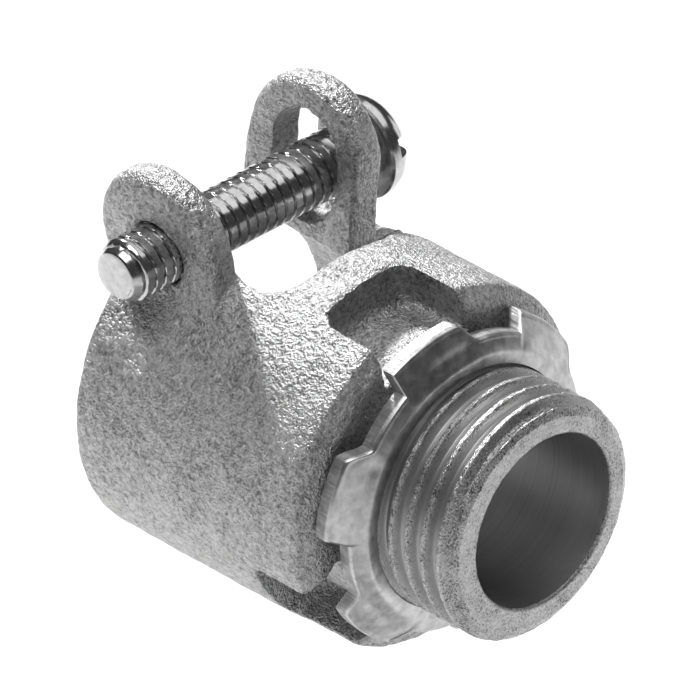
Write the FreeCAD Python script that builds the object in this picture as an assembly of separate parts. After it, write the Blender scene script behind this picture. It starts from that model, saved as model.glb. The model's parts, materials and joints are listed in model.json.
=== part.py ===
import FreeCAD, Part
import math
import os

# A straight squeeze connector for flexible metal conduit: a cast body with a split clamp sleeve,
# a slotted clamp screw through its two ears, and a stamped locknut on the threaded hub.
# The hub points along +X, the ears stand up along +Z and the clamp screw lies along Y.
# The origin is on the hub's axis, in the shoulder face that the locknut is drawn up against.

# Sleeve and collar, one turned outline about X
SLEEVE_RADIUS = 15.9
SLEEVE_LENGTH = 26.4
SLEEVE_BACK_ROUND = 0.8
COLLAR_BEVEL_LENGTH = 0.9
COLLAR_BEVEL_DEPTH = 1.6
ROUND_STEPS = 3
SOCKET_RADIUS = 11.6
SOCKET_DEPTH = 16.2
SOCKET_MOUTH_CHAMFER = 0.7

# Threaded hub, with its thread drawn as plain walls
HUB_RADIUS = 10.6
HUB_LENGTH = 11.0
HUB_END_CHAMFER = 0.8
THREAD_DEPTH = 0.55
THROAT_RADIUS = 7.5
THROAT_ROUND = 0.6

# Slit in the top of the sleeve, between the ears
SLIT_WIDTH = 13.4
SLIT_LENGTH = 15.0
SLIT_CORNER = 3.0
SLIT_EDGE_BEVEL = 0.6

# Relief, which runs on from the slit in front of the far ear, so that the ear's side can bend in
RELIEF_WIDTH = 4.9
RELIEF_SETBACK = 0.6
RELIEF_FLOOR_Z = 4.0
RELIEF_CORNER = 1.5

# Ears, plates with rounded rims that lean apart, each a round head that runs down to a smaller round heel
EAR_THICKNESS = 3.2
EAR_RIM_ROUND = 1.1
EAR_SPLAY_DEG = 6.0
EAR_SPLAY_RISE = 1.0
NEAR_EAR_RADIUS = 6.6
NEAR_EAR_RISE = 0.65
NEAR_EAR_SETBACK = 0.3
NEAR_EAR_OVERHANG = 1.3
NEAR_EAR_SWEEP = 2.6
FAR_EAR_RADIUS = 6.6
FAR_EAR_RISE = 1.55
FAR_EAR_SETBACK = 0.8
FAR_EAR_OVERHANG = 3.7
FAR_EAR_SWEEP = 1.2
EAR_HEEL_RADIUS = 3.2
EAR_HEEL_DROP = 3.45
EAR_TOE_SINK = 0.44
EAR_TOE_LENGTH = 1.5
EAR_ROOT_ROUND = 4.0

# Clamp screw, its axis placed from the sleeve's back end and the sleeve's top
SCREW_RADIUS = 2.74
SCREW_FROM_BACK = 4.1
SCREW_BELOW_TOP = 0.65
SCREW_TIP_REACH = 4.85
SCREW_TIP_CHAMFER = 0.95
SCREW_HEAD_STANDOFF = 2.35
SCREW_CLEARANCE = 0.1
HEAD_RADIUS = 4.5
HEAD_SIDE = 1.5
HEAD_HEIGHT = 3.3
DOME_STEPS = 3
HEAD_SLOT_WIDTH = 1.1
HEAD_SLOT_DEPTH = 1.5
HEAD_SLOT_TILT_DEG = 20.0
HEAD_SEAT_RADIUS = 7.4

# Long slot in the far ear
EAR_SLOT_WIDTH = 7.2
EAR_SLOT_HEIGHT = 10.0
EAR_SLOT_RISE = 0.5
EAR_SLOT_SETBACK = 0.6

# Cast pockets in the collar's front
POCKET_COUNT = 3
POCKET_FIRST_DEG = -8.5
POCKET_SPAN_DEG = 34.0
POCKET_LENGTH = 7.0
POCKET_FLOOR_RADIUS = 12.1
POCKET_CORNER = 1.6

# Locknut
NUT_SHOULDER_GAP = 0.2
NUT_THREAD_GAP = 0.6
NUT_DEPTH = 3.2
NUT_WALL = 1.5
NUT_FLAT_WIDTH = 1.23
NUT_RIM_WIDTH = 1.7
NUT_LUG_HEIGHT = 1.5
NUT_LUGS = 6
NUT_LUG_FOOT_DEG = 20.0
NUT_LUG_TIP_DEG = 13.0
NUT_CUT_FOOT_DEG = 17.0
NUT_CUT_TIP_DEG = 14.5
NUT_FIRST_LUG_DEG = -14.0
NUT_CLEARANCE = 0.12

# What follows from the driving dimensions
X_AXIS = FreeCAD.Vector(1, 0, 0)
Y_AXIS = FreeCAD.Vector(0, 1, 0)
ORIGIN = FreeCAD.Vector(0, 0, 0)
FULL_TURN = 360.0
DIAGONAL = math.sqrt(0.5)
TINY = 1e-6
OVERCUT = 2.0 * SLEEVE_RADIUS
BACK_X = -SLEEVE_LENGTH
EAR_INNER_Y = SLIT_WIDTH / 2
EAR_OUTER_Y = EAR_INNER_Y + EAR_THICKNESS
EAR_TOE_Z = math.sqrt(SLEEVE_RADIUS ** 2 - EAR_OUTER_Y ** 2) - EAR_TOE_SINK
EAR_SPLAY_Z = EAR_TOE_Z + EAR_SPLAY_RISE
SCREW_HEIGHT = SLEEVE_RADIUS - SCREW_BELOW_TOP
EAR_HEEL_Z = SCREW_HEIGHT - EAR_HEEL_DROP
SCREW_X = BACK_X + SCREW_FROM_BACK
SCREW_SEAT_Y = EAR_OUTER_Y + (SCREW_HEIGHT - EAR_SPLAY_Z) * math.tan(math.radians(EAR_SPLAY_DEG))
EAR_SLOT_X = SCREW_X - EAR_SLOT_SETBACK
NUT_FRONT_X = NUT_SHOULDER_GAP + NUT_DEPTH
FULL_THREAD_X = NUT_FRONT_X + NUT_THREAD_GAP
ENGAGED_RADIUS = HUB_RADIUS - THREAD_DEPTH
NUT_BORE_RADIUS = ENGAGED_RADIUS + NUT_CLEARANCE
NUT_FLAT_RADIUS = NUT_BORE_RADIUS + NUT_FLAT_WIDTH
NUT_RIM_RADIUS = NUT_FLAT_RADIUS + NUT_RIM_WIDTH
NUT_LUG_RADIUS = NUT_RIM_RADIUS + NUT_LUG_HEIGHT


def point(x, z, y=0.0):
    """A point given across the side view first, then its depth."""
    return FreeCAD.Vector(x, y, z)


def line(start, end):
    return Part.LineSegment(start, end).toShape()


def arc(start, middle, end):
    return Part.Arc(start, middle, end).toShape()


def solid_of(edges, sweep):
    """Face a closed run of edges and carry it along a vector."""
    return Part.Face(Part.Wire(edges)).extrude(sweep)


def turned(outline, axis=X_AXIS, centre=ORIGIN):
    """Revolve a closed list of points about an axis."""
    return Part.Face(Part.makePolygon(outline + outline[:1])).revolve(centre, axis, FULL_TURN)


def rounding(centre_x, centre_z, radius, start_deg, end_deg):
    """Points along a corner's round, so that turning them gives a few plain cones."""
    points = []
    for step in range(ROUND_STEPS + 1):
        turn = math.radians(start_deg + (end_deg - start_deg) * step / ROUND_STEPS)
        points.append(point(centre_x + radius * math.cos(turn), centre_z + radius * math.sin(turn)))
    return points


def upright_edges(shape, x):
    """The edges along Z at one station, for rounding."""
    found = []
    for edge in shape.Edges:
        box = edge.BoundBox
        if box.XLength < TINY and box.YLength < TINY and abs(box.XMin - x) < TINY:
            found.append(edge)
    return found


def sleeve_blank():
    """The sleeve, collar and hub as one turned blank, its back corner rounded and its front bevelled."""
    back = rounding(BACK_X + SLEEVE_BACK_ROUND, SLEEVE_RADIUS - SLEEVE_BACK_ROUND,
                    SLEEVE_BACK_ROUND, 180, 90)
    return turned([point(BACK_X, 0)] + back + [
        point(-COLLAR_BEVEL_LENGTH, SLEEVE_RADIUS),
        point(0, SLEEVE_RADIUS - COLLAR_BEVEL_DEPTH),
        point(0, ENGAGED_RADIUS),
        point(FULL_THREAD_X, ENGAGED_RADIUS),
        point(FULL_THREAD_X, HUB_RADIUS),
        point(HUB_LENGTH - HUB_END_CHAMFER, HUB_RADIUS),
        point(HUB_LENGTH, HUB_RADIUS - HUB_END_CHAMFER),
        point(HUB_LENGTH, 0),
    ])


def bores():
    """The conduit socket from the back and the throat through the hub."""
    stop = BACK_X + SOCKET_DEPTH
    socket = turned([
        point(BACK_X - OVERCUT, 0),
        point(BACK_X - OVERCUT, SOCKET_RADIUS + SOCKET_MOUTH_CHAMFER),
        point(BACK_X, SOCKET_RADIUS + SOCKET_MOUTH_CHAMFER),
        point(BACK_X + SOCKET_MOUTH_CHAMFER, SOCKET_RADIUS),
        point(stop, SOCKET_RADIUS),
        point(stop, 0),
    ])
    throat = turned([
        point(stop - THROAT_ROUND, 0),
        point(stop - THROAT_ROUND, THROAT_RADIUS + THROAT_ROUND),
        point(stop, THROAT_RADIUS + THROAT_ROUND),
        point(stop + THROAT_ROUND, THROAT_RADIUS),
        point(HUB_LENGTH + OVERCUT, THROAT_RADIUS),
        point(HUB_LENGTH + OVERCUT, 0),
    ])
    return socket.fuse(throat)


def ear(centre_x, centre_z, radius, heel_x, sweep, outward):
    """An ear plate and its outline: a round head, a straight back edge that touches the head and the heel,
    and a front foot swept out onto the sleeve. The rim is rounded, and the plate then leans."""
    inner_y = outward * EAR_INNER_Y
    heel_centre_x = heel_x + EAR_HEEL_RADIUS
    rise = centre_z - EAR_HEEL_Z
    run = centre_x - heel_centre_x
    tangent = math.atan2(rise, run) + math.acos((EAR_HEEL_RADIUS - radius) / math.hypot(rise, run))
    straight_down = 1.5 * math.pi
    base_z = EAR_HEEL_Z - EAR_HEEL_RADIUS
    front_x = centre_x + radius
    foot_z = EAR_TOE_Z + sweep
    toe_x = front_x + sweep
    end_x = toe_x + EAR_TOE_LENGTH
    slant = sweep * (1 - DIAGONAL)

    def at(x, z):
        return point(x, z, inner_y)

    def head(turn):
        return at(centre_x + radius * math.cos(turn), centre_z + radius * math.sin(turn))

    def heel(turn):
        return at(heel_centre_x + EAR_HEEL_RADIUS * math.cos(turn),
                  EAR_HEEL_Z + EAR_HEEL_RADIUS * math.sin(turn))

    outline = [
        line(head(0), at(front_x, foot_z)),
        arc(at(front_x, foot_z), at(front_x + slant, EAR_TOE_Z + slant), at(toe_x, EAR_TOE_Z)),
        line(at(toe_x, EAR_TOE_Z), at(end_x, EAR_TOE_Z)),
        line(at(end_x, EAR_TOE_Z), at(end_x, base_z)),
        line(at(end_x, base_z), heel(straight_down)),
        arc(heel(straight_down), heel((straight_down + tangent) / 2), heel(tangent)),
        line(heel(tangent), head(tangent)),
        arc(head(tangent), head(tangent / 2), head(0)),
    ]
    plate = solid_of(outline, FreeCAD.Vector(0, outward * EAR_THICKNESS, 0))
    rim = [edge for edge in plate.Edges if edge.BoundBox.YLength < TINY]
    plate = plate.makeFillet(EAR_RIM_ROUND, rim)
    plate.rotate(at(0, EAR_SPLAY_Z), X_AXIS, -outward * EAR_SPLAY_DEG)
    return plate, outline


def near_root(outline):
    """The hollow root between the near ear's outer face and the sleeve, kept within the ear's outline."""
    centre_y = EAR_OUTER_Y + EAR_ROOT_ROUND
    centre_z = math.sqrt((SLEEVE_RADIUS + EAR_ROOT_ROUND) ** 2 - centre_y ** 2)
    turn = math.atan2(centre_z, centre_y)
    inside = point(0, 0, -EAR_INNER_Y)
    top = point(0, centre_z, -EAR_INNER_Y)
    high = point(0, centre_z, -EAR_OUTER_Y)
    hollow = point(0, centre_z - EAR_ROOT_ROUND * math.sin(turn / 2),
                   EAR_ROOT_ROUND * math.cos(turn / 2) - centre_y)
    low = point(0, SLEEVE_RADIUS * math.sin(turn), -SLEEVE_RADIUS * math.cos(turn))
    wedge = solid_of([line(inside, top), line(top, high), arc(high, hollow, low), line(low, inside)],
                     FreeCAD.Vector(-SLEEVE_LENGTH, 0, 0))
    within = solid_of(outline, FreeCAD.Vector(0, -EAR_THICKNESS - EAR_ROOT_ROUND, 0))
    return wedge.common(within)


def long_slot(centre_x, centre_z, width, height):
    """An upright slot with round ends, cut right through along Y."""
    half = width / 2
    reach = (height - width) / 2
    low_z = centre_z - reach
    high_z = centre_z + reach
    edges = [
        line(point(centre_x - half, low_z), point(centre_x - half, high_z)),
        arc(point(centre_x - half, high_z), point(centre_x, high_z + half), point(centre_x + half, high_z)),
        line(point(centre_x + half, high_z), point(centre_x + half, low_z)),
        arc(point(centre_x + half, low_z), point(centre_x, low_z - half), point(centre_x - half, low_z)),
    ]
    return solid_of(edges, FreeCAD.Vector(0, OVERCUT, 0))


def slit():
    """The gap between the ears: open at the back and the top, with round corners at its front end."""
    front_x = BACK_X + SLIT_LENGTH
    length = SLIT_LENGTH + OVERCUT
    gap = Part.makeBox(length, SLIT_WIDTH, OVERCUT, FreeCAD.Vector(front_x - length, -EAR_INNER_Y, 0))
    return gap.makeFillet(SLIT_CORNER, upright_edges(gap, front_x))


def relief():
    """The slot between the far ear's front edge and the collar, with a rounded floor."""
    back_x = SCREW_X - FAR_EAR_SETBACK + FAR_EAR_RADIUS - RELIEF_SETBACK
    block = Part.makeBox(RELIEF_WIDTH, OVERCUT, OVERCUT,
                         FreeCAD.Vector(back_x, EAR_INNER_Y - SLIT_CORNER, RELIEF_FLOOR_Z))
    floor_edges = []
    for edge in block.Edges:
        box = edge.BoundBox
        if box.XLength < TINY and box.ZLength < TINY and box.ZMin < RELIEF_FLOOR_Z + TINY:
            floor_edges.append(edge)
    return block.makeFillet(RELIEF_CORNER, floor_edges)


def slit_rim(sleeve):
    """The slit's edges in the sleeve's outer surface."""
    found = []
    for edge in sleeve.Edges:
        middle = edge.valueAt((edge.FirstParameter + edge.LastParameter) / 2)
        on_surface = abs(math.hypot(middle.y, middle.z) - SLEEVE_RADIUS) < TINY
        beside_slit = abs(middle.y) < EAR_INNER_Y + TINY and middle.z > 0
        if on_surface and beside_slit and BACK_X < middle.x < BACK_X + SLIT_LENGTH + TINY:
            found.append(edge)
    return found


def pocket(middle_deg):
    """One cast pocket: a sector of the collar's wall, open at the front, with round back corners."""
    width = 2 * SLEEVE_RADIUS * math.sin(math.radians(POCKET_SPAN_DEG) / 2)
    block = Part.makeBox(POCKET_LENGTH + OVERCUT, width, OVERCUT,
                         FreeCAD.Vector(-POCKET_LENGTH, -width / 2, 0))
    block = block.makeFillet(POCKET_CORNER, upright_edges(block, -POCKET_LENGTH))
    floor = Part.makeCylinder(POCKET_FLOOR_RADIUS, SLEEVE_LENGTH + OVERCUT,
                              FreeCAD.Vector(BACK_X, 0, 0), X_AXIS)
    block = block.cut(floor)
    block.rotate(ORIGIN, X_AXIS, -middle_deg)
    return block


def connector_body():
    """The casting: sleeve, collar and hub in one, with its ears, slit, relief, pockets and screw holes."""
    sleeve = sleeve_blank().cut(slit())
    sleeve = sleeve.makeChamfer(SLIT_EDGE_BEVEL, slit_rim(sleeve))
    head_seat = Part.makeCylinder(HEAD_SEAT_RADIUS, OVERCUT,
                                  FreeCAD.Vector(SCREW_X, EAR_OUTER_Y, SCREW_HEIGHT), Y_AXIS)
    near, near_outline = ear(SCREW_X - NEAR_EAR_SETBACK, SCREW_HEIGHT + NEAR_EAR_RISE, NEAR_EAR_RADIUS,
                             BACK_X - NEAR_EAR_OVERHANG, NEAR_EAR_SWEEP, -1)
    far, far_outline = ear(SCREW_X - FAR_EAR_SETBACK, SCREW_HEIGHT + FAR_EAR_RISE, FAR_EAR_RADIUS,
                           BACK_X - FAR_EAR_OVERHANG, FAR_EAR_SWEEP, 1)
    body = sleeve.cut(head_seat).fuse([near, near_root(near_outline), far])
    body = body.cut([bores(), slit(), relief()])
    for index in range(POCKET_COUNT):
        body = body.cut(pocket(POCKET_FIRST_DEG + index * FULL_TURN / POCKET_COUNT))
    hole_radius = SCREW_RADIUS + SCREW_CLEARANCE
    tapped = Part.makeCylinder(hole_radius, OVERCUT, FreeCAD.Vector(SCREW_X, -OVERCUT, SCREW_HEIGHT), Y_AXIS)
    slot = long_slot(EAR_SLOT_X, SCREW_HEIGHT + EAR_SLOT_RISE, EAR_SLOT_WIDTH, EAR_SLOT_HEIGHT)
    return body.cut([tapped, slot]).removeSplitter()


def clamp_screw():
    """A round-head machine screw along Y, with a driving slot and its thread drawn as a plain shank."""
    tip_y = -SCREW_SEAT_Y - SCREW_TIP_REACH
    under_head_y = SCREW_SEAT_Y + SCREW_HEAD_STANDOFF
    top_y = under_head_y + HEAD_HEIGHT
    dome_height = HEAD_HEIGHT - HEAD_SIDE
    ball_radius = (HEAD_RADIUS ** 2 + dome_height ** 2) / (2 * dome_height)
    dome_turn = math.asin(HEAD_RADIUS / ball_radius)

    def at(radius, y):
        return FreeCAD.Vector(SCREW_X + radius, y, SCREW_HEIGHT)

    outline = [
        at(0, tip_y),
        at(SCREW_RADIUS - SCREW_TIP_CHAMFER, tip_y),
        at(SCREW_RADIUS, tip_y + SCREW_TIP_CHAMFER),
        at(SCREW_RADIUS, under_head_y),
        at(HEAD_RADIUS, under_head_y),
    ]
    for step in range(DOME_STEPS + 1):
        turn = dome_turn * (1 - step / DOME_STEPS)
        outline.append(at(ball_radius * math.sin(turn), top_y - ball_radius * (1 - math.cos(turn))))
    screw = turned(outline, Y_AXIS, at(0, 0))
    slot = Part.makeBox(OVERCUT, OVERCUT, HEAD_SLOT_WIDTH,
                        FreeCAD.Vector(SCREW_X - OVERCUT / 2, top_y - HEAD_SLOT_DEPTH,
                                       SCREW_HEIGHT - HEAD_SLOT_WIDTH / 2))
    slot.rotate(at(0, 0), Y_AXIS, -HEAD_SLOT_TILT_DEG)
    return screw.cut(slot)


def on_ring(radius, degrees, x=0.0):
    """A point on a ring about the hub's axis, its angle counted from the top towards +Y."""
    turn = math.radians(degrees)
    return FreeCAD.Vector(x, radius * math.sin(turn), radius * math.cos(turn))


def nut_outline():
    """The blanked outline: a rim with lugs, each an arc between a steep cut flank and a slanted one."""
    edges = []
    step = FULL_TURN / NUT_LUGS
    for index in range(NUT_LUGS):
        middle = NUT_FIRST_LUG_DEG + index * step
        foot_in = on_ring(NUT_RIM_RADIUS, middle - NUT_CUT_FOOT_DEG)
        tip_in = on_ring(NUT_LUG_RADIUS, middle - NUT_CUT_TIP_DEG)
        tip_out = on_ring(NUT_LUG_RADIUS, middle + NUT_LUG_TIP_DEG)
        foot_out = on_ring(NUT_RIM_RADIUS, middle + NUT_LUG_FOOT_DEG)
        next_foot = on_ring(NUT_RIM_RADIUS, middle + step - NUT_CUT_FOOT_DEG)
        edges.append(line(foot_in, tip_in))
        edges.append(arc(tip_in, on_ring(NUT_LUG_RADIUS, middle), tip_out))
        edges.append(line(tip_out, foot_out))
        edges.append(line(foot_out, next_foot))
    return edges


def locknut():
    """A dished ring cut to the lugged outline, so its rim and lugs lean back towards the body."""
    back_x = NUT_SHOULDER_GAP
    reach = NUT_LUG_RADIUS + NUT_WALL
    dish = turned([
        point(NUT_FRONT_X - NUT_WALL, NUT_BORE_RADIUS),
        point(NUT_FRONT_X, NUT_BORE_RADIUS),
        point(NUT_FRONT_X, NUT_FLAT_RADIUS),
        point(back_x + NUT_WALL, NUT_LUG_RADIUS),
        point(back_x + NUT_WALL, reach),
        point(back_x, reach),
        point(back_x, NUT_LUG_RADIUS),
        point(NUT_FRONT_X - NUT_WALL, NUT_FLAT_RADIUS),
    ])
    blank = solid_of(nut_outline(), FreeCAD.Vector(NUT_FRONT_X, 0, 0))
    return dish.common(blank)


os.makedirs("parts", exist_ok=True)
pieces = {
    "connector_body": connector_body(),
    "clamp_screw": clamp_screw(),
    "locknut": locknut(),
}
for name, shape in pieces.items():
    shape.exportStep("parts/" + name + ".step")
    print(name, "solids", len(shape.Solids), "valid", shape.isValid(), "volume", round(shape.Volume, 1))
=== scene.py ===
# %% [markdown]
# A straight squeeze connector joins flexible metal conduit to a junction box. It has three pieces:
# a rough zinc-plated casting, a bright clamp screw across its two ears, and a stamped locknut.
# The packed CAD model is the frame: every piece made here sits where the CAD says. Lengths are
# worked out in millimetres, and MM turns them into Blender's metres.

# %% Load the frame
import json
import math
import bmesh
import bpy
import numpy as np
from mathutils import Matrix, Vector


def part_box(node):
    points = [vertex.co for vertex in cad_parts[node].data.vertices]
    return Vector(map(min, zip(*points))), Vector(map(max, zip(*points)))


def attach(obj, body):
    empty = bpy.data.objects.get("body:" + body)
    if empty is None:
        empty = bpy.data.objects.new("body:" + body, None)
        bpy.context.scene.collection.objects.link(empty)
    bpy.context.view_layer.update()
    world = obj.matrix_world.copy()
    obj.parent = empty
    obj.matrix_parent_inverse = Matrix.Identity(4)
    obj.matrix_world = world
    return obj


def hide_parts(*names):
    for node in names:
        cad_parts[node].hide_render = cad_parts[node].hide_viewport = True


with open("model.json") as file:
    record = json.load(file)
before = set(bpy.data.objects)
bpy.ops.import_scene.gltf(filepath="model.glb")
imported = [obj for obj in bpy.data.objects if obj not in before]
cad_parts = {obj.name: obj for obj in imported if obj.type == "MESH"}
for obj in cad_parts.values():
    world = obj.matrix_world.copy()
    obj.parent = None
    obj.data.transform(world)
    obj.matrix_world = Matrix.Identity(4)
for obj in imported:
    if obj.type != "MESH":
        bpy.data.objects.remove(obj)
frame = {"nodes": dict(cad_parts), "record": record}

MM = 0.001
INCH = 25.4
TURN = 2 * math.pi
QUARTER_TURN = TURN / 4
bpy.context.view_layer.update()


def box_in_mm(node):
    """Lowest and highest corner of a CAD node, in millimetres."""
    low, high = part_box(node)
    return np.array(low) / MM, np.array(high) / MM


body_low, body_high = box_in_mm("connector_body")
screw_low, screw_high = box_in_mm("clamp_screw")
nut_low, nut_high = box_in_mm("locknut")
print("body", body_low.round(2), body_high.round(2))
print("screw", screw_low.round(2), screw_high.round(2))
print("nut", nut_low.round(2), nut_high.round(2))

# %% [markdown]
# Each new surface is a grid, a function of two parameters worked out as whole arrays. A modifier
# could spin a profile instead, but a formula can also bend threads and lugs as it goes round. The
# grid may close on itself round an axis, and a row may shrink to a point on that axis. Welding the
# points that coincide then leaves one closed skin, and Blender turns its faces outwards.

# %% Grids and pieces
WELD = 0.002
SHARP_DEG = 38


def grid_faces(rows, columns, close_rows=False, close_columns=False):
    """Four corner numbers for each cell: (i, j), (i+1, j), (i+1, j+1) and (i, j+1)."""
    i = np.arange(rows if close_rows else rows - 1)[:, None]
    j = np.arange(columns if close_columns else columns - 1)[None, :]
    i_next = (i + 1) % rows
    j_next = (j + 1) % columns
    corners = (i * columns + j, i_next * columns + j, i_next * columns + j_next, i * columns + j_next)
    return np.stack([np.broadcast_to(c, (i.size, j.size)).ravel() for c in corners], axis=1)


def set_mark(mesh, name, values):
    """Keep one number for each vertex under a name, for a finish to read."""
    mesh.attributes.new(name, "FLOAT", "POINT").data.foreach_set("value", values.astype(np.float32))


def linked(name, mesh):
    """A smooth-shaded object in the scene, with its sharp corners kept."""
    mesh.polygons.foreach_set("use_smooth", np.ones(len(mesh.polygons), bool))
    mesh.set_sharp_from_angle(angle=math.radians(SHARP_DEG))
    piece = bpy.data.objects.new(name, mesh)
    bpy.context.scene.collection.objects.link(piece)
    return piece


def grid_piece(name, shells, **marks):
    """One object from closed grids, each given as points and faces. A mark has a number for each point."""
    starts = np.cumsum([0] + [len(points) for points, _ in shells])
    mesh = bpy.data.meshes.new(name)
    points = np.concatenate([points for points, _ in shells])
    faces = np.concatenate([faces + start for (_, faces), start in zip(shells, starts)])
    mesh.from_pydata(points * MM, [], faces)
    for mark_name, values in marks.items():
        set_mark(mesh, mark_name, values)
    skin = bmesh.new()
    skin.from_mesh(mesh)
    bmesh.ops.remove_doubles(skin, verts=skin.verts, dist=WELD * MM)
    bmesh.ops.recalc_face_normals(skin, faces=skin.faces)
    open_edges = sum(not edge.is_manifold for edge in skin.edges)
    skin.to_mesh(mesh)
    skin.free()
    print(name, len(mesh.polygons), "faces,", open_edges, "open edges")
    return linked(name, mesh)


print("a ring of 3 by 4 points has", len(grid_faces(3, 4, close_columns=True)), "faces")

# %% [markdown]
# The casting is one lump of metal with ears, a slit, a relief and pockets, which no single grid
# can follow. It could be sculpted, but the CAD node already has its true sizes, so it starts from
# a copy of that. The hub is cut off, because its thread is a grid of its own below. A voxel remesh
# then gives an even skin to work on.

# %% Casting blank
HUB_FOOT_X = 0.2
VOXEL = 0.28


def casting_blank():
    """The CAD body, merged, cut off at the hub's foot and closed there with a flat face."""
    blank = bmesh.new()
    blank.from_mesh(frame["nodes"]["connector_body"].data)
    bmesh.ops.remove_doubles(blank, verts=blank.verts, dist=WELD * MM)
    everything = list(blank.verts) + list(blank.edges) + list(blank.faces)
    bmesh.ops.bisect_plane(blank, geom=everything, plane_co=(HUB_FOOT_X * MM, 0, 0),
                           plane_no=(1, 0, 0), clear_outer=True)
    rim = [edge for edge in blank.edges if edge.is_boundary]
    bmesh.ops.triangle_fill(blank, use_beauty=True, use_dissolve=False, edges=rim, normal=(1, 0, 0))
    mesh = bpy.data.meshes.new("casting_blank")
    blank.to_mesh(mesh)
    blank.free()
    return mesh


def remeshed(mesh, voxel):
    """The mesh after Blender's voxel remesh."""
    holder = bpy.data.objects.new("remesh_holder", mesh)
    bpy.context.scene.collection.objects.link(holder)
    modifier = holder.modifiers.new("voxels", "REMESH")
    modifier.mode = "VOXEL"
    modifier.voxel_size = voxel * MM
    bpy.context.view_layer.update()
    made = holder.evaluated_get(bpy.context.evaluated_depsgraph_get())
    result = bpy.data.meshes.new_from_object(made)
    bpy.data.objects.remove(holder)
    return result


casting_mesh = remeshed(casting_blank(), VOXEL)
casting_mesh.name = "casting"
print("casting", len(casting_mesh.polygons), "faces")

# %% [markdown]
# Sand moulds leave edges soft and hollows filled. A Smooth modifier softens everything alike, so the
# softening is done on arrays here: each vertex moves towards the mean of its neighbours, by a share
# that may differ from vertex to vertex.

# %% Softening
SOFTEN_SHARE = 0.5


def vertex_vectors(mesh, name):
    """One vector for each vertex of a mesh, such as its place or its normal."""
    values = np.empty(len(mesh.vertices) * 3, np.float32)
    mesh.vertices.foreach_get(name, values)
    return values.reshape(-1, 3).astype(np.float64)


def set_places(mesh, points):
    """Move a mesh's vertices to points in millimetres."""
    mesh.vertices.foreach_set("co", (points * MM).astype(np.float32).ravel())
    mesh.update()


def neighbour_mean(values, edges):
    """For each vertex, the mean of its values over the vertices that share an edge with it."""
    ends = np.concatenate([edges[:, 0], edges[:, 1]])
    others = np.concatenate([edges[:, 1], edges[:, 0]])
    count = len(values)
    degree = np.maximum(np.bincount(ends, minlength=count), 1)
    sums = [np.bincount(ends, weights=column[others], minlength=count) for column in values.T]
    return np.stack(sums, axis=1) / degree[:, None]


def softened(values, edges, rounds, share=SOFTEN_SHARE):
    """The values after some rounds of moving by a share of the way to their neighbours' mean."""
    for _ in range(rounds):
        values = values + share * (neighbour_mean(values, edges) - values)
    return values


edges = np.empty(len(casting_mesh.edges) * 2, np.int32)
casting_mesh.edges.foreach_get("vertices", edges)
edges = edges.reshape(-1, 2)
print("casting", len(edges), "edges")

# %% [markdown]
# The cast skin is softened once all over and many times in the hollows, where sand rounds off most.
# Its lumps are seeded sine waves, which run every way through space and lift the skin along its
# normals. A Displace modifier could do that too, but the arrays also show how far the skin stands
# out from what is round it, and that is kept as a mark for the finish's painted edge shade.

# %% Casting skin
SOFTEN_ROUNDS = 1
HOLLOW_ROUNDS, FULL_HOLLOW_BEND = 24, 0.02
# The bend at which an edge gets its full painted shade in the finish.
MARK_ROUNDS, FULL_EDGE_SHADE_BEND = 3, 0.012
FINE_LUMP, FINE_WAVES = 0.014, (0.7, 1.6)
BROAD_LUMP, BROAD_WAVES = 0.030, (2.5, 7.0)


def lumps(points, wavelengths, seed, waves=64):
    """Lumps of unit spread at each point: sine waves of seeded headings, lengths and phases, summed."""
    draw = np.random.default_rng(seed)
    heading = draw.normal(size=(waves, 3))
    heading /= np.linalg.norm(heading, axis=1)[:, None]
    length = np.exp(draw.uniform(*np.log(wavelengths), waves))
    phase = draw.uniform(0, TURN, waves)
    height = np.sin(points @ (heading * (TURN / length)[:, None]).T + phase)
    return height.sum(axis=1) / math.sqrt(waves / 2)


def bend_of(mesh, points, edges):
    """How far each point stands out from its neighbours' mean, evened out a little, and the normals."""
    set_places(mesh, points)
    outward = vertex_vectors(mesh, "normal")
    bend = ((points - neighbour_mean(points, edges)) * outward).sum(axis=1, keepdims=True)
    return softened(bend, edges, MARK_ROUNDS, share=1.0), outward


skin = softened(vertex_vectors(casting_mesh, "co") / MM, edges, SOFTEN_ROUNDS)
bend, _ = bend_of(casting_mesh, skin, edges)
hollow = np.clip(-bend / FULL_HOLLOW_BEND, 0, 1)
skin = softened(skin, edges, HOLLOW_ROUNDS, SOFTEN_SHARE * hollow)
bend, outward = bend_of(casting_mesh, skin, edges)
lift = FINE_LUMP * lumps(skin, FINE_WAVES, seed=3) + BROAD_LUMP * lumps(skin, BROAD_WAVES, seed=4)
set_places(casting_mesh, skin + outward * lift[:, None])
# Painted shade: edges that stand out get a darker grey in the finish, and hollows a lighter one.
edge_shading = np.clip(bend[:, 0] / FULL_EDGE_SHADE_BEND, -1, 1)
set_mark(casting_mesh, "painted_edge_shade", edge_shading)
casting = linked("casting", casting_mesh)
print("wear marks", np.percentile(edge_shading, [1, 25, 50, 75, 99]).round(2))

# %% [markdown]
# The hub is a short pipe with a right-hand thread of 14 turns to the inch. A Screw modifier could
# sweep a thread, but it would have to be joined to the pipe. A thread is also a ridge that moves
# along the axis by one pitch in each turn, so its height depends on one number: the distance along
# the axis in pitches plus the angle in turns. The mark tells rough crests and the cast end from
# the smooth grooves and the bore.

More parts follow.
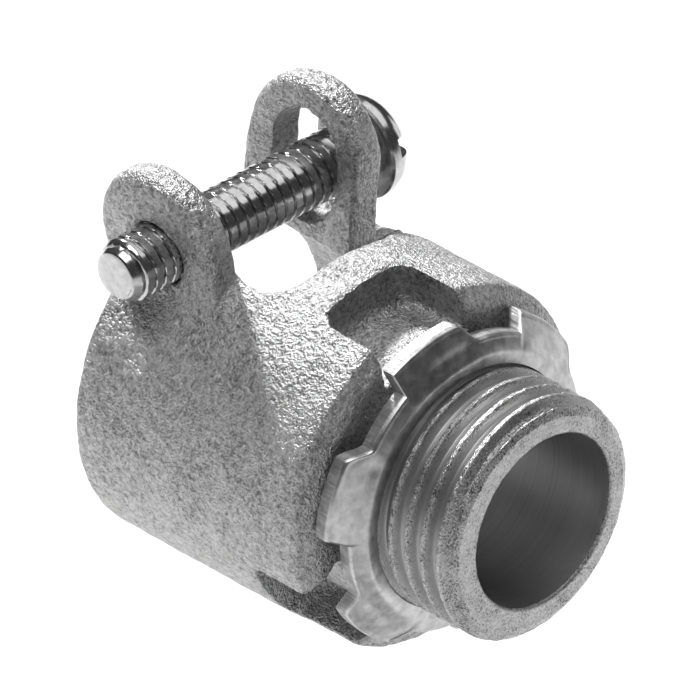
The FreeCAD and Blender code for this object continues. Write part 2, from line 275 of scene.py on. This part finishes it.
# %% Threaded hub
HUB_PITCH = INCH / 14
HUB_CREST, HUB_GROOVE = 10.6, 9.85
RIDGE_CREST, RIDGE_FOOT, CREST_PHASE = 0.07, 0.40, 0.30
HUB_REACH = 0.3
HUB_END = body_high[0] + HUB_REACH
HUB_END_RADIUS, HUB_BEVEL_X, BEVEL_POWER = 9.4, 10.35, 1.4
HUB_BACK, HUB_HIDDEN_RADIUS = -9.0, 9.2
THREAD_SINK, STEP_SINK = 0.2, 0.3
throat = next(mount for mount in frame["record"]["mounts"] if mount["name"] == "wire_throat")
THROAT_SKIN = 0.1
BORE_RADIUS = throat["dims"]["r_mm"] - THROAT_SKIN
BORE_SHIFT, BORE_FLARE, BORE_EASE_X = 0.4, 0.25, (-6.0, 8.0)
MOUTH_ROUND = 0.35
FACE_SHARES = (0.2, 0.9)
MOUTH_GRIT, FACE_GRIT, GRITTY_END_X = 0.8, 0.6, (9.6, 10.4)
HUB_ROUGH, HUB_ROUGH_WAVES = 0.022, (0.5, 1.3)
HUB_ANGLES, BORE_ROWS, MOUTH_ROWS, FACE_ROWS, THREAD_ROWS = 270, 24, 7, 5, 215


def smooth_step(low, high, x):
    """0 below low, 1 above high, and a smooth cubic between."""
    t = np.clip((x - low) / (high - low), 0, 1)
    return t * t * (3 - 2 * t)


def ridge(phase, crest, foot):
    """Height 1 within crest of a whole number, 0 beyond foot, and smooth flanks between."""
    away = np.abs(phase - np.round(phase))
    return 1 - smooth_step(crest, foot, away)


def side_step(reach, shift, angle):
    """How far a circle lies from the axis at each angle, when it is moved sideways towards +Y."""
    return shift * np.sin(angle) + np.sqrt(reach ** 2 - (shift * np.cos(angle)) ** 2)


def round_x_axis(x, r, angle):
    """Points at x along the hub's axis, r from it and an angle counted from the top towards +Y."""
    return np.stack(np.broadcast_arrays(x, r * np.sin(angle), r * np.cos(angle)), axis=2).reshape(-1, 3)


def joined_runs(angle, runs):
    """The x, r and mark of a section's runs, each spread over all angles and set end to end."""
    spread = [np.broadcast_arrays(angle, *run)[1:] for run in runs]
    return [np.concatenate(parts, axis=1) for parts in zip(*spread)]


def threaded_hub():
    """At each angle one loop: along the bore, round the mouth, over the end and back along the thread."""
    angle = np.linspace(0, TURN, HUB_ANGLES, endpoint=False)[:, None]
    bore_x = np.linspace(HUB_BACK, HUB_END - MOUTH_ROUND, BORE_ROWS)[None, :]
    ease = smooth_step(*BORE_EASE_X, bore_x)
    bore_r = side_step(BORE_RADIUS + BORE_FLARE * ease, BORE_SHIFT * ease, angle)
    mouth = np.linspace(0, QUARTER_TURN, MOUTH_ROWS)[None, 1:]
    mouth_x = HUB_END - MOUTH_ROUND * (1 - np.sin(mouth))
    mouth_r = bore_r[:, -1:] + MOUTH_ROUND * (1 - np.cos(mouth))
    rim_r = mouth_r[:, -1:]
    face_r = rim_r + (HUB_END_RADIUS - rim_r) * np.linspace(*FACE_SHARES, FACE_ROWS)[None, :]
    thread_x = np.linspace(HUB_END, HUB_FOOT_X - THREAD_SINK, THREAD_ROWS)[None, :]
    crest = ridge(thread_x / HUB_PITCH + angle / TURN - CREST_PHASE, RIDGE_CREST, RIDGE_FOOT)
    bevel = np.clip((thread_x - HUB_BEVEL_X) / (HUB_END - HUB_BEVEL_X), 0, 1) ** BEVEL_POWER
    limit = HUB_CREST - (HUB_CREST - HUB_END_RADIUS) * bevel
    thread_r = np.minimum(HUB_GROOVE + (HUB_CREST - HUB_GROOVE) * crest, limit)
    thread_grit = np.maximum(crest ** 2, smooth_step(*GRITTY_END_X, thread_x))
    hidden_x = np.array([[HUB_FOOT_X - STEP_SINK, HUB_BACK]])
    x, r, grit = joined_runs(angle, (
        (bore_x, bore_r, 0.0), (mouth_x, mouth_r, MOUTH_GRIT), (HUB_END, face_r, FACE_GRIT),
        (thread_x, thread_r, thread_grit), (hidden_x, HUB_HIDDEN_RADIUS, 0.0)))
    points = round_x_axis(x, r, angle)
    rough = HUB_ROUGH * lumps(points, HUB_ROUGH_WAVES, seed=11) * grit.ravel()
    points[:, 1:] *= 1 + (rough / np.hypot(points[:, 1], points[:, 2]))[:, None]
    return points, grid_faces(*x.shape, close_rows=True, close_columns=True), grit.ravel()


hub_points, hub_faces, hub_grit = threaded_hub()
hub = grid_piece("threaded_hub", [(hub_points, hub_faces)], grit=hub_grit)

# %% [markdown]
# The clamp screw has 24 turns to the inch. Its thread is rolled, so the crests are broad and the
# grooves are narrow, with straight sides, and a cone at the tip cuts the thread down. The formula
# is that of the hub's thread, with a straight flank in place of the smooth one.

# %% Screw shank
SCREW_X = (screw_low[0] + screw_high[0]) / 2
SCREW_Z = (screw_low[2] + screw_high[2]) / 2
SCREW_TIP, SCREW_TOP = screw_low[1], screw_high[1]
SCREW_PITCH = INCH / 24
SCREW_CREST, SCREW_GROOVE = 2.74, 2.26
CREST_SHARE, FOOT_SHARE = 0.35, 0.49
TIP_RADIUS, TIP_CONE, TIP_EDGE = 2.0, 1.2, 0.08
TIP_SHARES = (0, 0.5, 1)
HEAD_HEIGHT = 3.3
HEAD_UNDER = SCREW_TOP - HEAD_HEIGHT
SHANK_SINK, SHANK_STEP, SHANK_ANGLES = 0.4, 0.06, 90


def screw_shank():
    """Rings along Y: each has the thread's radius at its angle, held within the tip's cone."""
    angle = np.linspace(0, TURN, SHANK_ANGLES, endpoint=False)[None, :]
    stations = np.arange(SCREW_TIP + TIP_EDGE, HEAD_UNDER + SHANK_SINK, SHANK_STEP)
    y = np.concatenate([[SCREW_TIP] * len(TIP_SHARES), stations])[:, None]
    cone = TIP_RADIUS + (SCREW_CREST - TIP_RADIUS) * np.clip((y - SCREW_TIP) / TIP_CONE, 0, 1)
    phase = y / SCREW_PITCH - angle / TURN
    away = np.abs(phase - np.round(phase))
    depth = np.clip((away - CREST_SHARE) / (FOOT_SHARE - CREST_SHARE), 0, 1)
    r = np.minimum(SCREW_CREST, cone) - (SCREW_CREST - SCREW_GROOVE) * depth
    r = np.maximum(r, TIP_RADIUS - TIP_EDGE)
    r[:len(TIP_SHARES)] = np.array(TIP_SHARES)[:, None] * (TIP_RADIUS - TIP_EDGE)
    r[-1] = 0
    points = np.stack(np.broadcast_arrays(r * np.sin(angle), y, r * np.cos(angle)), axis=2).reshape(-1, 3)
    return points + (SCREW_X, 0, SCREW_Z), grid_faces(*r.shape, close_columns=True)


shank = screw_shank()
print("shank", len(shank[1]), "faces")

# %% [markdown]
# The screw's round head has a driving slot, which shows as a notch in its outline. A Boolean could
# cut it, but that leaves ragged faces on a curved top. Instead the head is a stack of chords that
# run along the slot, and at each wall of the slot one chord lies on the dome and one on the floor.

# %% Screw head
HEAD_RADIUS = (screw_high[0] - screw_low[0]) / 2
HEAD_SIDE, HEAD_EDGE, DOME_POWER = 0.6, 0.2, 2.4
SLOT_WIDTH, SLOT_DEPTH, SLOT_LIP = 1.6, 2.3, 0.12
SLOT_TILT = math.radians(18)
HEAD_CHORDS, CHORD_POINTS = 24, 45


def screw_head():
    """Chords as long as a disc is wide there, on the dome or on the slot's floor, and a skirt below.

    The dome's height is the root of 1 less a power of the distance from the axis, in head radii.
    """
    half = SLOT_WIDTH / 2
    lip_angle = math.asin((half + SLOT_LIP) / HEAD_RADIUS)
    dome_chords = HEAD_RADIUS * np.sin(np.linspace(lip_angle, QUARTER_TURN, HEAD_CHORDS))
    floor_chords = [0, half]
    wing = np.concatenate([floor_chords, [half], dome_chords])
    on_floor = np.arange(wing.size) < len(floor_chords)
    across = np.concatenate([-wing[:0:-1], wing])[:, None]
    sunk = np.concatenate([on_floor[:0:-1], on_floor])[:, None]
    along = np.sin(np.linspace(-QUARTER_TURN, QUARTER_TURN, CHORD_POINTS))[None, :]
    x = np.sqrt(np.maximum(HEAD_RADIUS ** 2 - across ** 2, 0)) * along
    out = np.minimum(np.hypot(x, across) / HEAD_RADIUS, 1)
    dome = HEAD_SIDE + (HEAD_HEIGHT - HEAD_SIDE) * (1 - out ** DOME_POWER) ** 0.5
    y = np.where(sunk, np.minimum(dome, HEAD_HEIGHT - SLOT_DEPTH), dome)
    top = np.stack(np.broadcast_arrays(x, y, across), axis=2)
    loop = np.concatenate([top[:, -1], top[-2:0:-1, 0]])
    shares = np.array([1, 1, 1 - HEAD_EDGE / HEAD_RADIUS, 0])[:, None]
    skirt_y = np.repeat([[0.0], [HEAD_EDGE], [0.0], [0.0]], len(loop), axis=1)
    skirt_y[0] = loop[:, 1]
    skirt = np.stack([loop[:, 0] * shares, skirt_y, loop[:, 2] * shares], axis=2)
    points = np.concatenate([top.reshape(-1, 3), skirt.reshape(-1, 3)])
    faces = np.concatenate([grid_faces(*x.shape),
                            grid_faces(*skirt.shape[:2], close_columns=True) + x.size])
    tilted = points @ np.array(Matrix.Rotation(SLOT_TILT, 3, "Y"))
    return tilted + (SCREW_X, HEAD_UNDER, SCREW_Z), faces


screw = grid_piece("slotted_screw", [shank, screw_head()])

# %% [markdown]
# The locknut is punched from sheet steel and pressed into a shallow dish. Its lugs lean back to bite
# the box wall. One flank of each lug is sheared steep and the other folds into the rim. Solidify
# could thicken a flat outline, but the torn edge needs a finish of its own. So the grid runs round
# the axis, and at each angle it follows the sheet: bore, front, sheared edge and back.

# %% Locknut
NUT_FRONT, NUT_LUG = nut_high[0], nut_high[2]
NUT_WALL, NUT_BACK = 1.5, 0.15
NUT_BORE, NUT_BORE_BEVEL = 10.17, 0.55
NUT_BEND, NUT_RIM = 11.7, 13.1
NUT_LUGS, NUT_FIRST_DEG = 6, -14
LUG_MIDDLE_DEG, LUG_CUT_DEG, LUG_FOLD_DEG, LUG_END_DEG = 17, 2.5, 30, 38
LUG_STEPS = (6, 30, 16, 20)
RIM_DROP, LUG_DROP, LUG_TWIST, LEAN_POWER = 0.7, 1.65, 0.45, 1.25
LUG_VALLEY, LUG_VALLEY_R, LUG_VALLEY_WIDTH, LUG_VALLEY_DEG = 0.25, 12.6, 0.7, (4, 18)
DIE_ROLL, EDGE_DRAFT = 0.28, 0.08
FRONT_FIRST = 0.06
BEVEL_ROWS, FRONT_ROWS, ROLL_ROWS, EDGE_ROWS = 3, 18, 4, 5


def steps(count):
    """Equal steps that end at 1 and leave out 0, as a row."""
    return np.linspace(1 / count, 1, count)[None, :]


def lug_angles():
    """The angles of the nut's sections in radians, and how far round its lug each one is in degrees."""
    step_deg = 360 / NUT_LUGS
    stops = (0, LUG_CUT_DEG, LUG_FOLD_DEG, LUG_END_DEG, step_deg)
    around = np.concatenate([np.linspace(low, high, count, endpoint=False)
                             for low, high, count in zip(stops, stops[1:], LUG_STEPS)])
    degrees = NUT_FIRST_DEG - LUG_MIDDLE_DEG + step_deg * np.arange(NUT_LUGS)[:, None] + around
    return np.radians(degrees).reshape(-1, 1), np.tile(around, NUT_LUGS)[:, None]


def locknut():
    """Sections of the sheet round the axis; a lug mask moves its outer edge out and leans it back."""
    angle, around = lug_angles()
    lug = np.clip(around / LUG_CUT_DEG, 0, 1) * (1 - smooth_step(LUG_FOLD_DEG, LUG_END_DEG, around))
    edge_r = NUT_RIM + (NUT_LUG - NUT_RIM) * lug
    twist = LUG_TWIST * (1 - around / LUG_FOLD_DEG)
    drop = RIM_DROP + (LUG_DROP + twist - RIM_DROP) * lug
    bore = np.linspace(0, 1, BEVEL_ROWS)[None, :]
    bore_r = NUT_BORE + NUT_BORE_BEVEL * bore
    bore_x = NUT_FRONT - NUT_BORE_BEVEL * (1 - bore)
    first_r = NUT_BORE + NUT_BORE_BEVEL
    front_r = first_r + (edge_r - DIE_ROLL - first_r) * np.linspace(FRONT_FIRST, 1, FRONT_ROWS)[None, :]
    lean = np.clip((front_r - NUT_BEND) / (edge_r - NUT_BEND), 0, 1) ** LEAN_POWER
    pressed = LUG_VALLEY * lug * smooth_step(*LUG_VALLEY_DEG, around)
    valley = pressed * np.exp(-((front_r - LUG_VALLEY_R) / LUG_VALLEY_WIDTH) ** 2)
    front_x = NUT_FRONT - drop * lean - valley
    roll = steps(ROLL_ROWS) * QUARTER_TURN
    roll_r = edge_r - DIE_ROLL * (1 - np.sin(roll))
    roll_x = front_x[:, -1:] - DIE_ROLL * (1 - np.cos(roll))
    back_x = np.maximum(front_x - NUT_WALL, NUT_BACK)
    down = steps(EDGE_ROWS)
    side_x = roll_x[:, -1:] + (back_x[:, -1:] - roll_x[:, -1:]) * down
    side_r = edge_r - EDGE_DRAFT * down ** 2
    x, r, sheared = joined_runs(angle, (
        (bore_x, bore_r, 0), (front_x, front_r, 0), (roll_x, roll_r, 0), (side_x, side_r, 1),
        (back_x[:, ::-1], front_r[:, ::-1], 0), (NUT_FRONT - NUT_WALL, NUT_BORE, 0)))
    faces = grid_faces(*x.shape, close_rows=True, close_columns=True)
    return round_x_axis(x, r, angle), faces, sheared.ravel()


nut_points, nut_faces, nut_sheared = locknut()
nut = grid_piece("lugged_locknut", [(nut_points, nut_faces)], sheared=nut_sheared)

# %% [markdown]
# Each piece rides on its CAD body, as the child of an empty named for that body, and hides the CAD
# node that it stands for.

# %% Rides
for piece, body, node, slot in ((casting, "body", "connector_body", "casting"),
                                (hub, "body", "connector_body", "casting"),
                                (screw, "screw", "clamp_screw", "screw"),
                                (nut, "nut", "locknut", "nut")):
    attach(piece, body)
    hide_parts(node)
    print(piece.name, "rides on", body)

# %% [markdown]
# Shader maths reads best as ordinary expressions. The class below wraps a socket, so that adding
# or multiplying two of them makes a Math node, and one method makes any other node.

# %% Shader helper
class Wire:
    """A node's output socket that takes part in arithmetic."""

    def __init__(self, tree, socket=None):
        self.tree, self.socket = tree, socket

    def node(self, kind, settings=None, out=0, **inputs):
        """Any node: its settings first, then its sockets by name, or by number as _0, _1 and so on."""
        made = self.tree.nodes.new(kind)
        for name, value in (settings or {}).items():
            setattr(made, name, value)
        for name, value in inputs.items():
            key = int(name[1:]) if name.startswith("_") else name.replace("_", " ")
            if isinstance(value, Wire):
                self.tree.links.new(value.socket, made.inputs[key])
            else:
                made.inputs[key].default_value = value
        return Wire(self.tree, made.outputs[out])

    def math(self, operation, *values):
        numbered = {f"_{k}": value for k, value in enumerate(values)}
        return self.node("ShaderNodeMath", {"operation": operation}, **numbered)

    def __add__(self, other):
        return self.math("ADD", self, other)

    def __radd__(self, other):
        return self.math("ADD", other, self)

    def __sub__(self, other):
        return self.math("SUBTRACT", self, other)

    def __rsub__(self, other):
        return self.math("SUBTRACT", other, self)

    def __mul__(self, other):
        return self.math("MULTIPLY", self, other)

    def __rmul__(self, other):
        return self.math("MULTIPLY", other, self)


print("operators", [name for name in vars(Wire) if name.startswith("__r")])

# %% [markdown]
# All the finishes are bare metal, so they share a few steps: a metal's shader, clouds of noise in
# millimetres, a ramp of greys, a bump, and the marks that the meshes keep. The patterns sit on
# Object coordinates, which stay with a piece when it turns.

# %% Metal helpers
def new_finish(name, metallic):
    """A material, its Principled shader and its Object coordinates."""
    finish = bpy.data.materials.new(name)
    finish.use_nodes = True
    shader = finish.node_tree.nodes["Principled BSDF"]
    shader.inputs["Metallic"].default_value = metallic
    return finish, shader, Wire(finish.node_tree).node("ShaderNodeTexCoord", out="Object")


def grey(level):
    """A grey of one level, as Blender's four numbers."""
    return (level, level, level, 1)


def greys(value, stops):
    """A colour ramp of greys over a value, from (place, grey) stops."""
    ramp = value.node("ShaderNodeValToRGB", Fac=value)
    elements = ramp.socket.node.color_ramp.elements
    for _ in stops[2:]:
        elements.new(1.0)
    for element, (place, level) in zip(elements, stops):
        element.position = place
        element.color = grey(level)
    return ramp


def noise(place, size, detail=2.0):
    """Cloudy values about 0.5, with lumps of the given size in millimetres."""
    return place.node("ShaderNodeTexNoise", Vector=place, Scale=1 / (size * MM), Detail=detail,
                      Roughness=0.55)


def stretched(place, *shares):
    """Coordinates times a share along X, Y and Z. A small share draws a pattern out that way."""
    return place.node("ShaderNodeVectorMath", {"operation": "MULTIPLY"}, _0=place, _1=shares)


def mark(place, name):
    """The number that a mesh keeps for each vertex under a name."""
    return place.node("ShaderNodeAttribute", {"attribute_name": name}, out="Fac")


def bump(height, depth, strength=1.0):
    """Normals tilted by a height, where one unit of it stands for a depth in millimetres."""
    return height.node("ShaderNodeBump", Strength=strength, Distance=depth * MM, Height=height)


def plug(shader, **wires):
    """Link wires to the shader's sockets, named with _ for a space."""
    for name, wire in wires.items():
        wire.tree.links.new(wire.socket, shader.inputs[name.replace("_", " ")])


def put_on(piece, finish):
    """Make a finish the only one on a piece."""
    piece.data.materials.clear()
    piece.data.materials.append(finish)
    print(piece.name, "wears", finish.name, "of", len(finish.node_tree.nodes), "nodes")


for piece in (casting, hub, nut):
    marks = [kept.name for kept in piece.data.attributes if kept.data_type == "FLOAT"]
    print(piece.name, "keeps the mark", *marks)

# %% [markdown]
# Zinc over a sandy casting glitters, because each grain is tilted its own way. Real grains would
# take millions of faces, so two sizes of noise make them as a bump. The same grains speckle the
# grey and a broad stain clouds it. Edges that stand out get painted shade, a touch darker than the
# hollows, which tones down the light they catch.

# %% Casting finish
CAST_GRAIN, CAST_SAND, CAST_STAIN, CAST_DEPTH = 0.20, 0.50, 3.0, 0.30
CAST_GREYS = ((0.36, 0.20), (0.48, 0.46), (0.60, 0.66))

cast_zinc, shader, place = new_finish("cast_zinc", metallic=1.0)
grain = noise(place, CAST_GRAIN)
sand = noise(place, CAST_SAND)
stain = noise(place, CAST_STAIN, detail=4.0)
# Painted shade: the bend mark darkens edges that stand out and lightens the hollows a little.
tone = 0.2 * stain + 0.40 * grain + 0.40 * sand - 0.02 * mark(place, "painted_edge_shade")
plug(shader,
     Base_Color=greys(tone, CAST_GREYS),
     Roughness=0.42 + 0.16 * stain,
     Normal=bump(0.7 * grain + sand, CAST_DEPTH))
put_on(casting, cast_zinc)

# %% [markdown]
# The hub carries the same zinc. Its crests and its end are as gritty as the casting, the grooves
# are smooth where the die cut them, and the bore shows faint rings from the tool. One material with
# the hub's mark as a mask keeps these in step with the thread, where two would need a face split.

# %% Hub finish
HUB_GRAIN, HUB_STAIN, HUB_RING, HUB_DEPTH = 0.16, 1.6, 0.25, 0.12
HUB_GREYS = ((0.38, 0.12), (0.47, 0.44), (0.60, 0.66))
RING_STRETCH = (1.0, 0.02, 0.02)

hub_zinc, shader, place = new_finish("hub_zinc", metallic=1.0)
grain = noise(place, HUB_GRAIN)
stain = noise(place, HUB_STAIN, detail=4.0)
rings = noise(stretched(place, *RING_STRETCH), HUB_RING)
grit = mark(place, "grit")
tone = grit * (0.3 * stain + 0.7 * grain) + (1 - grit) * (0.43 + 0.10 * rings)
plug(shader,
     Base_Color=greys(tone, HUB_GREYS),
     Roughness=0.48 - 0.12 * grit,
     Normal=bump(grain * (0.12 + 0.88 * grit) + 0.06 * rings * (1 - grit), HUB_DEPTH))
put_on(hub, hub_zinc)

# %% [markdown]
# The screw is smooth rolled steel with a bright, thin zinc plate, so it mirrors the studio. A plain
# mirror would look like chrome, so a haze of small stains dulls it here and there.

# %% Screw finish
SCREW_HAZE, SCREW_DEPTH = 0.7, 0.03
SCREW_GREYS = ((0.30, 0.48), (0.70, 0.66))

screw_zinc, shader, place = new_finish("screw_zinc", metallic=1.0)
haze = noise(place, SCREW_HAZE, detail=4.0)
plug(shader,
     Base_Color=greys(haze, SCREW_GREYS),
     Roughness=0.10 + 0.16 * haze,
     Normal=bump(haze, SCREW_DEPTH, strength=0.3))
put_on(screw, screw_zinc)

# %% [markdown]
# The locknut has the same plate on pressed sheet, so it is satin. The punch tore its outer edge,
# which leaves fine lines across the sheet's thickness. They are a noise drawn out along the axis,
# and the nut's mark keeps them to that edge.

# %% Locknut finish
NUT_HAZE, NUT_TEAR, NUT_DEPTH = 0.9, 0.22, 0.10
NUT_GREYS = ((0.20, 0.34), (0.45, 0.54), (0.70, 0.72))
TEAR_STRETCH = (0.08, 1.0, 1.0)

nut_zinc, shader, place = new_finish("nut_zinc", metallic=1.0)
haze = noise(place, NUT_HAZE, detail=4.0)
sheared = mark(place, "sheared")
tears = noise(stretched(place, *TEAR_STRETCH), NUT_TEAR, detail=3.0) * sheared
plug(shader,
     Base_Color=greys(haze - 0.40 * tears, NUT_GREYS),
     Roughness=0.28 + 0.16 * haze + 0.20 * sheared,
     Normal=bump(0.10 * haze + tears, NUT_DEPTH, strength=0.8))
put_on(nut, nut_zinc)

# %% [markdown]
# The photograph is a product shot on white, without a shadow. So the pale floor lies a little below
# the connector, where its shadow falls outside the picture.

# %% Stage
FLOOR_DROP, FLOOR_REACH = 26.0, 2000.0
PAPER_GREY, PAPER_ROUGHNESS = 0.9, 0.9

floor_sides = (-FLOOR_REACH, FLOOR_REACH)
floor_x, floor_y = np.meshgrid(floor_sides, floor_sides)
floor_z = np.full(floor_x.shape, body_low[2] - FLOOR_DROP)
floor_points = np.stack([floor_x, floor_y, floor_z], axis=2).reshape(-1, 3)
floor_mesh = bpy.data.meshes.new("floor")
floor_mesh.from_pydata(floor_points * MM, [], [(0, 1, 3, 2)])
floor = bpy.data.objects.new("floor", floor_mesh)
bpy.context.scene.collection.objects.link(floor)
paper, shader, _ = new_finish("white_paper", metallic=0.0)
shader.inputs["Roughness"].default_value = PAPER_ROUGHNESS
shader.inputs["Base Color"].default_value = grey(PAPER_GREY)
put_on(floor, paper)

# %% [markdown]
# Bare metal shows what stands round it, so the lights are shapes as much as brightness. A small one
# stands high at the left, broad ones behind and overhead, and one low behind for the screw's head.
# The dark room around them gives the metal its blacks. A picture of a studio could light it as
# well, but the script reads no pictures.

# %% Light
AIM = Vector((-8.0, 0.0, 3.0)) * MM
ROOM_STRENGTH = 0.06


def soft_box(name, toward, distance, width, depth, watts):
    """A flat light, in metres, that faces the connector from one direction, its width along X if it can."""
    lamp = bpy.data.lights.new(name, "AREA")
    lamp.shape = "RECTANGLE"
    lamp.size, lamp.size_y = width, depth
    lamp.energy = watts
    holder = bpy.data.objects.new(name, lamp)
    direction = Vector(toward).normalized()
    holder.location = AIM + direction * distance
    holder.rotation_euler = direction.to_track_quat("Z", "Y").to_euler()
    bpy.context.scene.collection.objects.link(holder)
    print(name, "at", [round(v, 2) for v in holder.location])


soft_box("key_light", toward=(-0.68, 0.28, 0.66), distance=0.6, width=0.06, depth=0.06, watts=4.1)
soft_box("back_light", toward=(0.0, 0.60, 0.78), distance=0.7, width=0.75, depth=0.26, watts=0.7)
soft_box("overhead_light", toward=(0.0, -0.25, 1.0), distance=0.7, width=0.5, depth=0.35, watts=2.3)
soft_box("head_light", toward=(0.1, 1.0, 0.05), distance=0.7, width=0.30, depth=0.30, watts=0.3)
world = bpy.data.worlds.new("studio")
world.use_nodes = True
world.node_tree.nodes["Background"].inputs["Color"].default_value = grey(1.0)
world.node_tree.nodes["Background"].inputs["Strength"].default_value = ROOM_STRENGTH
bpy.context.scene.world = world
bpy.context.scene.view_settings.view_transform = "Standard"

# %% [markdown]
# The camera stands well back with a long lens, so the view is almost parallel. A tracking constraint
# could aim it, but its three axes follow from the azimuth and the elevation, and its place from the
# point in the middle of the picture.

# %% Camera
AZIMUTH, ELEVATION = math.radians(45.0), math.radians(32.5)
LENS, SENSOR, PICTURE_WIDTH = 1200.0, 36.0, 56.51
DISTANCE = PICTURE_WIDTH * LENS / SENSOR
SHIFT_RIGHT, SHIFT_UP = -7.39, 9.67
SIGHT_END = 10000.0

back = Vector((math.sin(AZIMUTH) * math.cos(ELEVATION), -math.cos(AZIMUTH) * math.cos(ELEVATION),
               math.sin(ELEVATION)))
right = Vector((math.cos(AZIMUTH), math.sin(AZIMUTH), 0))
up = back.cross(right)
lens = bpy.data.cameras.new("camera")
lens.sensor_width = SENSOR
lens.lens = LENS
lens.clip_end = SIGHT_END * MM
camera = bpy.data.objects.new("camera", lens)
spot = back * DISTANCE + right * SHIFT_RIGHT + up * SHIFT_UP
camera.matrix_world = Matrix.Translation(spot * MM) @ Matrix((right, up, back)).transposed().to_4x4()
bpy.context.scene.collection.objects.link(camera)
bpy.context.scene.camera = camera
print("camera at", [round(v, 3) for v in camera.matrix_world.translation])

# %% [markdown]
